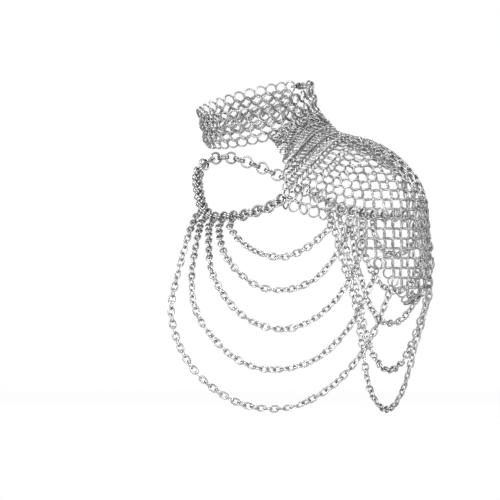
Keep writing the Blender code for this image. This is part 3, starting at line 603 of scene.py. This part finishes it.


# Draped chains
# Long oval links of bright wire, five chains across the chest and five across the back. Each
# hangs from a small ring in the neck chain and another at the mantle's edge.

DRAPE_LINK_PITCH = 6.7 * MM
DRAPE_LINK_WIDTH = 7.6 * MM
DRAPE_WIRE = 1.8 * MM
JUMP_RING_BORE = 6.2 * MM
DRAPE_SEED = 41
DRAPE_BEND = 24.0 * MM
DRAPE_ROUTES = {
    "front_drape_1": [
        (84, -84, -124), (109, -79, -137), (134, -65, -142), (158, -52, -132)],
    "front_drape_2": [
        (67, -94, -124), (88, -103, -139), (110, -102, -157), (129, -88, -172), (149, -69, -174),
        (168, -51, -164), (183, -39, -144)],
    "front_drape_3": [
        (50, -96, -122), (68, -108, -138), (86, -118, -155), (104, -119, -175), (119, -110, -195),
        (135, -94, -209), (153, -74, -213), (169, -55, -204), (184, -40, -187), (195, -29, -166)],
    "front_drape_4": [
        (33, -97, -120), (47, -111, -138), (61, -124, -158), (73, -132, -180), (86, -132, -203),
        (100, -123, -224), (115, -109, -242), (132, -91, -252), (149, -71, -252), (167, -52, -244),
        (182, -37, -228), (194, -25, -208), (203, -16, -184)],
    "front_drape_5": [
        (11, -93, -119), (15, -104, -142), (20, -115, -166), (25, -124, -190), (34, -127, -214),
        (47, -125, -237), (61, -117, -258), (77, -104, -275), (95, -89, -287), (114, -71, -292),
        (133, -53, -290), (151, -37, -280), (167, -23, -265), (182, -12, -246), (194, -3, -225),
        (204, 3, -201)],
    "back_drape_1": [
        (64, 96, -119), (77, 96, -134), (96, 98, -140), (115, 101, -134)],
    "back_drape_2": [
        (45, 94, -120), (55, 93, -145), (72, 95, -166), (97, 97, -177), (122, 100, -168),
        (140, 99, -146)],
    "back_drape_3": [
        (31, 92, -117), (41, 89, -141), (53, 88, -165), (69, 86, -189), (91, 86, -206),
        (119, 87, -206), (141, 89, -189), (156, 93, -166)],
    "back_drape_4": [
        (15, 92, -115), (23, 91, -135), (33, 91, -157), (43, 91, -180), (54, 89, -204), (67, 86, -226),
        (84, 84, -245), (108, 81, -255), (133, 79, -248), (151, 79, -229), (164, 80, -206),
        (175, 83, -182)],
    "back_drape_5": [
        (0, 92, -111), (9, 92, -133), (19, 93, -156), (30, 94, -179), (39, 94, -205), (50, 91, -231),
        (62, 87, -255), (78, 82, -277), (101, 78, -292), (127, 72, -292), (149, 69, -276),
        (164, 67, -253), (175, 67, -227), (185, 69, -201)],
}

for name, route in DRAPE_ROUTES.items():
    upper, lower = ring_of(name + "_upper_ring"), ring_of(name + "_lower_ring")
    axis = unit(lower[0] - upper[0])
    stations = MM * np.array(route, dtype=float)
    start = hooked_point(upper, JUMP_RING_BORE, stations[0] - upper[0])
    end = hooked_point(lower, JUMP_RING_BORE, stations[-1] - lower[0])
    curve = smooth_route(np.vstack((start, stations, end)))
    middles, along, facing = chain_links(curve, DRAPE_LINK_PITCH, axis, axis)
    chain = wire_pieces(name + "_links", middles, facing, along, polished_wire, None, [name],
                        **{"Ring Radius": 0.5 * (DRAPE_LINK_WIDTH - DRAPE_WIRE),
                           "Wire Radius": 0.5 * DRAPE_WIRE,
                           "Straight": 0.5 * (DRAPE_LINK_PITCH + 2.0 * DRAPE_WIRE - DRAPE_LINK_WIDTH),
                           "Cut": MAIL_CUT, "Looseness": 0.06, "Roll": 0.35, "Seed": DRAPE_SEED})
    off_axis = middles - upper[0]
    off_axis -= np.outer(off_axis @ axis, axis)
    hang = unit(off_axis.sum(axis=0))
    bend = min(DRAPE_BEND, 0.5 * (off_axis @ hang).max())
    tuple(upper[0] + bend * hang)
    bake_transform(chain)


# Loose rings
# Open rings of the mail's wire that carry the chains: one at each end of a chain, one through the
# mantle's edge, one at each end of the neck chain and one at each side of a clasp.

LOOSE_SEED = 5
for name in sorted(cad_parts):
    if name.endswith("_ring"):
        centre, axis = ring_of(name)
        low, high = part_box(name)
        outside = max(b - a for a, b in zip(low, high))
        side = square_to((0.2, 0.3, 1.0), axis)
        wire_pieces(name + "_wire", [centre], [axis], [side], mail_aluminium, "mail", [name],
                    **{"Ring Radius": 0.5 * (outside - LOOSE_RING_WIRE), "Wire Radius": 0.5 * LOOSE_RING_WIRE,
                       "Cut": MAIL_CUT, "Looseness": 0.0, "Seed": LOOSE_SEED})


# Clasps
# Two lobster clasps close the collar at the back of the neck. Each has a cast body, a sprung gate
# lever and a pivot pin with a headed end, of bright plated metal with softly worn edges.

CLASP_WORN_EDGE = 0.15 * MM

clasp_metal = bright_metal("plated clasp metal", (0.5, 0.5, 0.505, 1.0), (0.37, 0.37, 0.375, 1.0),
                           0.16, 0.3, 3000.0)
for name, node in sorted(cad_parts.items()):
    if name.startswith("clasp") and not name.endswith("_ring"):
        for slot in node.material_slots:
            slot.material = clasp_metal.material
        edges = node.modifiers.new("worn edges", "BEVEL")
        edges.width, edges.segments, edges.limit_method = CLASP_WORN_EDGE, 2, "ANGLE"


# Floor, lights and camera
# A pale disc of floor that fades to white with distance, three soft lamps around the object, and
# a long lens at the photograph's angle.

VIEW_ANGLE = math.radians(55.0)
VIEW_DISTANCE = 12.0
FRAME_WIDTH = 0.5
AIM_ACROSS = -9.0 * MM
AIM_Z = -135.0 * MM
FLOOR_Z = -300.0 * MM
FLOOR_REACH = 2.6
FLOOR_WHITE = 0.7
FLOOR_SIDES = 96
FLOOR_FADE_END = 0.9
FLOOR_PAINT = (0.86, 0.86, 0.86, 1.0)
SKY = (0.55, 0.55, 0.55, 1.0)
LIGHTS_AIM = Vector((0.05, 0.0, -0.14))

across = Vector((math.cos(VIEW_ANGLE), math.sin(VIEW_ANGLE), 0.0))
away = Vector((-math.sin(VIEW_ANGLE), math.cos(VIEW_ANGLE), 0.0))
lens = bpy.data.cameras.new("camera")
lens.sensor_width = 36.0
lens.lens = lens.sensor_width * VIEW_DISTANCE / FRAME_WIDTH
lens.clip_end = 50.0
camera = bpy.data.objects.new("camera", lens)
bpy.context.scene.collection.objects.link(camera)
aim = across * AIM_ACROSS + Vector((0.0, 0.0, AIM_Z))
camera.location = aim - away * VIEW_DISTANCE
camera.rotation_euler = away.to_track_quat("-Z", "Y").to_euler()
bpy.context.scene.camera = camera

floor_mesh = bpy.data.meshes.new("floor")
rim = np.linspace(0.0, 2.0 * math.pi, FLOOR_SIDES, endpoint=False)
floor_mesh.from_pydata([(FLOOR_REACH * math.cos(a), FLOOR_REACH * math.sin(a), FLOOR_Z) for a in rim], [],
                       [tuple(range(len(rim)))])
floor = bpy.data.objects.new("floor", floor_mesh)
bpy.context.scene.collection.objects.link(floor)
floor_paint = Finish("pale floor", base_color=FLOOR_PAINT, roughness=0.9)
place = floor_paint.node("ShaderNodeTexCoord")
distance = floor_paint.node("ShaderNodeVectorMath", {0: place.outputs["Object"]}, operation="LENGTH")
far = Amount(floor_paint.tree, distance.outputs["Value"]) / FLOOR_REACH
far = far.within(0.0, FLOOR_FADE_END) / FLOOR_FADE_END
sight = floor_paint.node("ShaderNodeLightPath")
white = floor_paint.node("ShaderNodeEmission", {"Strength": 1.0})
glow = floor_paint.node("ShaderNodeMixShader", {
    0: (FLOOR_WHITE + (1.0 - FLOOR_WHITE) * far) * sight.outputs["Is Camera Ray"],
    1: floor_paint.shader.outputs[0], 2: white.outputs[0]})
put(floor_paint.tree, floor_paint.tree.nodes["Material Output"].inputs["Surface"], glow.outputs[0])
floor_mesh.materials.append(floor_paint.material)


def softbox(name, place, size, power):
    lamp = bpy.data.lights.new(name, "AREA")
    lamp.shape = "RECTANGLE"
    lamp.size, lamp.size_y, lamp.energy = size[0], size[1], power
    light = bpy.data.objects.new(name, lamp)
    light.location = place
    light.rotation_euler = (LIGHTS_AIM - Vector(place)).to_track_quat("-Z", "Y").to_euler()
    bpy.context.scene.collection.objects.link(light)


softbox("key light", (-0.6, -1.9, 1.5), (1.4, 1.0), 40.0)
softbox("side light", (1.9, -1.2, 0.5), (0.7, 1.3), 26.0)
softbox("back light", (0.9, 1.8, 1.2), (1.2, 0.8), 24.0)

world = bpy.data.worlds.new("studio")
bpy.context.scene.world = world
world.use_nodes = True
sky = world.node_tree
put(sky, sky.nodes["Background"].inputs["Color"], SKY)
white = add_node(sky, "ShaderNodeBackground", {"Color": (1.0, 1.0, 1.0, 1.0)})
ray = add_node(sky, "ShaderNodeLightPath").outputs
seen = Amount(sky, ray["Is Camera Ray"]) + ray["Is Glossy Ray"] + ray["Is Transmission Ray"]
mixed = add_node(sky, "ShaderNodeMixShader", {
    0: seen.within(0.0, 1.0), 1: sky.nodes["Background"].outputs[0], 2: white.outputs[0]})
put(sky, sky.nodes["World Output"].inputs["Surface"], mixed.outputs[0])
bpy.context.scene.view_settings.view_transform = "Standard"
